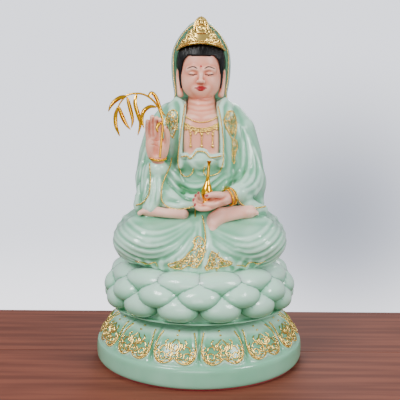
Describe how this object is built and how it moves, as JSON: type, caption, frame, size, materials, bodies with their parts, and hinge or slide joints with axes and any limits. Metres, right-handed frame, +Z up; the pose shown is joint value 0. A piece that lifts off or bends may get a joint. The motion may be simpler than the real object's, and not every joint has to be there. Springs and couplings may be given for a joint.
{
  "type": "seated robed figurine",
  "caption": "Seated robed figure cast in pale jade resin on a three-tier lotus throne and round plinth, holding a gilt willow branch and a small vase.",
  "frame": {"origin": "centre of the felt under the round plinth", "axes": "+Z up, the figure faces -Y, +X is to the viewer's right"},
  "size_m": [0.236, 0.236, 0.38],
  "materials": {
    "jade_resin": "gloss",
    "painted_skin": "satin",
    "gilded_trim": "satin",
    "gold_plate": "polished",
    "peg_wood": "matte",
    "red_felt": "matte",
    "base_board": "matte",
    "steel_pin": "satin",
    "red_enamel": "gloss",
    "black_hair": "satin"
  },
  "bodies": {
    "statue": {"felt_pad": "red_felt", "plinth_cover": "base_board", "plinth": "jade_resin", "throne_dowels": "peg_wood", "throne_core": "jade_resin", "petals_lower": "jade_resin", "petals_middle": "jade_resin", "petals_upper": "jade_resin", "figure_dowels": "peg_wood", "robed_body": "jade_resin", "right_foot": "painted_skin", "left_foot": "painted_skin", "neck_and_chest": "painted_skin", "necklace": "gilded_trim", "necklace_strings": "gilded_trim", "head_dowel": "steel_pin", "head": "painted_skin", "urna": "red_enamel", "hair": "black_hair", "hood_veil": "jade_resin", "crown_band": "gilded_trim", "crown_halo": "gilded_trim", "crown_figure": "gilded_trim", "right_hand": "painted_skin", "right_hand_dowel": "steel_pin", "right_bracelet": "gold_plate", "left_hand": "painted_skin", "left_hand_dowel": "steel_pin", "left_bracelet": "gold_plate"},
    "willow_branch": {"willow_stem": "gold_plate", "willow_leaf_1": "gold_plate", "willow_leaf_2": "gold_plate", "willow_leaf_3": "gold_plate", "willow_leaf_4": "gold_plate", "willow_leaf_5": "gold_plate", "willow_leaf_6": "gold_plate", "willow_leaf_7": "gold_plate", "willow_leaf_8": "gold_plate"},
    "vase": {"vase": "gold_plate"}
  },
  "joints": [
    {"name": "branch_pull", "type": "slide", "parent": "statue", "child": "willow_branch", "axis": [0.09, 0, 0.9959], "range_m": [0, 0.06]},
    {"name": "vase_lift", "type": "slide", "parent": "statue", "child": "vase", "axis": [0.0698, 0, 0.9976], "range_m": [0, 0.05]}
  ]
}
